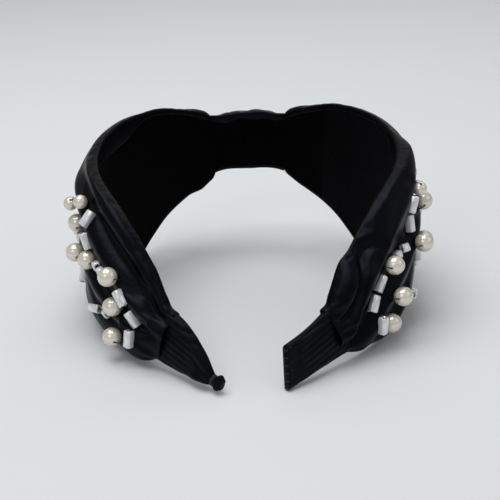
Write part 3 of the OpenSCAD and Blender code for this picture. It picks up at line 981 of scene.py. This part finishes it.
def beadMatrix(tree, side, kind, s, u, turn):
    long = {"pearl": 1.5, "seed": 1.2, "cube": 1.2, "tube": 2.8}[kind]
    high = {"pearl": beads["pearl"], "seed": beads["seed"]}.get(kind, beads["width"]) / 2
    a = math.radians(turn)
    ahead = touch(tree, side, s + long * math.cos(a), u + long * math.sin(a))
    behind = touch(tree, side, s - long * math.cos(a), u - long * math.sin(a))
    over = touch(tree, side, s - long * math.sin(a), u + long * math.cos(a))
    under = touch(tree, side, s + long * math.sin(a), u - long * math.cos(a))
    x = (ahead - behind).normalized()
    z = x.cross(over - under).normalized()
    if z.dot(place(side, s, u, 9) - place(side, s, u, 8)) < 0:
        z = -z
    y = z.cross(x)
    middle = touch(tree, side, s, u)
    rise = max((p - middle).dot(z) for p in (ahead, behind, middle))
    where = middle + z * (rise + (high - beads["sink"]) * mm)
    return Matrix((x, y, z)).transposed().to_4x4(), where


def addCopies(bm, shape, spots):
    for turn, where in spots:
        before = len(bm.verts)
        bm.from_mesh(shape)
        bm.verts.ensure_lookup_table()
        bmesh.ops.transform(bm, matrix=Matrix.Translation(where) @ turn, verts=bm.verts[before:])


shapes = {"pearl": pearlShape(beads["pearl"]), "seed": pearlShape(beads["seed"]),
          "tube": glassShape(beads["tube"]), "cube": glassShape(beads["width"])}
rows = {"pearl": ("largePearls_", "pearls_", [pearlCoating], "pearl"),
        "seed": ("smallPearls_", "small_pearls_", [pearlCoating], "pearl"),
        "tube": ("glassTubes_", "glass_tubes_", [clearGlass, silverLining], "bead_glass"),
        "cube": ("glassCubes_", "glass_cubes_", [clearGlass, silverLining], "bead_glass")}
lengths = {"pearl": beads["pearl"], "seed": beads["seed"], "tube": beads["tube"],
           "cube": beads["width"]}
for side in (1, -1):
    tree = surfaceOf(wings[side])
    found = [(kind, beadMatrix(tree, side, kind, s, u, turn))
             for kind, s, u, turn in beadPlaces(side)]
    stitches = bmesh.new()
    for kind, (piece, node, materials, slotName) in rows.items():
        spots = [spot for k, spot in found if k == kind]
        sewn = bmesh.new()
        addCopies(sewn, shapes[kind], spots)
        thing = finishPiece(piece + sideNames[side], sewn, *materials)
        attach(thing, arms[side])
        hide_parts(node + sideNames[side])
        high = lengths[kind] / 2 if kind in ("pearl", "seed") else beads["width"] / 2
        addCopies(stitches, stitchShape(lengths[kind], high), spots)
    thing = finishPiece("beadThreads_" + sideNames[side], stitches, thread)
    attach(thing, arms[side])
    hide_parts("bead_threads_" + sideNames[side])
print("beads sewn on")

# The strip, the foam and the knot's pad keep the frame's own shapes.
kept = {"core_crown": springPlastic, "core_left": springPlastic, "core_right": springPlastic,
        "knot_pad": foam, "foam_left": foam, "foam_right": foam}
for name, material in kept.items():
    mesh = frame["nodes"][name].data
    mesh.materials.clear()
    mesh.materials.append(material)

room = {"floorHalf": 3.0, "floor": "#e6e8ea", "wall": "#e2dccf", "back": 0.9, "rise": 1.6}


def makeRoom():
    bm = bmesh.new()
    bmesh.ops.create_grid(bm, x_segments=1, y_segments=1, size=room["floorHalf"])
    bmesh.ops.translate(bm, verts=bm.verts, vec=(0, room["back"] - room["floorHalf"], 0))
    edge = max(bm.edges, key=lambda e: sum(v.co.y for v in e.verts))
    spun = bmesh.ops.spin(bm, geom=[edge, *edge.verts], cent=(0, room["back"], 0.4),
                          axis=(1, 0, 0), angle=math.pi / 2, steps=16, use_duplicate=False)
    rim = [g for g in spun["geom_last"] if isinstance(g, bmesh.types.BMEdge)]
    grown = bmesh.ops.extrude_edge_only(bm, edges=rim)
    bmesh.ops.translate(bm, verts=[g for g in grown["geom"] if isinstance(g, bmesh.types.BMVert)],
                        vec=(0, 0, room["rise"]))
    bmesh.ops.recalc_face_normals(bm, faces=bm.faces)
    # Smooth pale table cloth that turns into a warmer wall: matt, with no pattern to see.
    material, tree, shader = newMaterial("paleTable")
    at = addNode(tree, "ShaderNodeTexCoord")
    height = addNode(tree, "ShaderNodeSeparateXYZ", None, None, {"Vector": at.outputs["Object"]})
    up = addNode(tree, "ShaderNodeMapRange", None, {"From Min": 0.0, "From Max": 0.3},
                 {"Value": height.outputs["Z"]})
    tone = addNode(tree, "ShaderNodeMix", {"data_type": "RGBA"}, None,
                   {"Factor": up.outputs["Result"]})
    tone.inputs["A"].default_value = toLinear(room["floor"])
    tone.inputs["B"].default_value = toLinear(room["wall"])
    tree.links.new(tone.outputs["Result"], shader.inputs["Base Color"])
    setShader(shader, Roughness=0.9)
    thing = finishPiece("studioFloor", bm, material)


def addLight(name, place, aim, size, power):
    data = bpy.data.lights.new(name, "AREA")
    data.shape, data.size, data.energy = "SQUARE", size, power
    thing = bpy.data.objects.new(name, data)
    bpy.context.scene.collection.objects.link(thing)
    thing.location = place
    thing.rotation_euler = (Vector(aim) - Vector(place)).to_track_quat("-Z", "Y").to_euler()


makeRoom()
addLight("softboxAbove", (-0.2, 0.05, 1.1), (0, 0, 0), 0.9, 7.8)
addLight("softboxFront", (-0.6, -1.1, 0.9), (0, 0, 0.03), 0.6, 1.6)
addLight("softboxRight", (1.1, -0.3, 0.8), (0, 0, 0.03), 0.6, 0.8)
addLight("softboxBack", (0.3, 1.3, 0.8), (0, 0, 0.03), 1.1, 3.2)
world = bpy.data.worlds.new("studio")
world.use_nodes = True
world.node_tree.nodes["Background"].inputs["Color"].default_value = toLinear("#e9edf2")
world.node_tree.nodes["Background"].inputs["Strength"].default_value = 0.4
bpy.context.scene.world = world
bpy.context.scene.view_settings.view_transform = "Standard"

# The camera looks down over the open end of the band, nearly along its middle.
eye = {"pitch": 41.39, "yaw": -1.07, "roll": -2.28, "distance": 438.69,
       "aim": (0.07, -13.02, -5.80), "lens": 72.14}
pitch, yaw, roll = (math.radians(eye[k]) for k in ("pitch", "yaw", "roll"))
forward = Vector((math.sin(yaw) * math.cos(pitch), math.cos(yaw) * math.cos(pitch),
                  -math.sin(pitch)))
right = Vector((math.cos(yaw), -math.sin(yaw), 0))
upward = right.cross(forward)
level = right * math.cos(roll) + upward * math.sin(roll)
upright = upward * math.cos(roll) - right * math.sin(roll)
camera = bpy.data.objects.new("camera", bpy.data.cameras.new("camera"))
bpy.context.scene.collection.objects.link(camera)
camera.data.lens, camera.data.sensor_width = eye["lens"], 36
camera.location = (tip @ (Vector(eye["aim"]) - forward * eye["distance"]) + shift) * mm
axes = Matrix((tip @ level, tip @ upright, -(tip @ forward))).transposed()
camera.rotation_euler = axes.to_euler()
bpy.context.scene.camera = camera
print("lights and camera set")
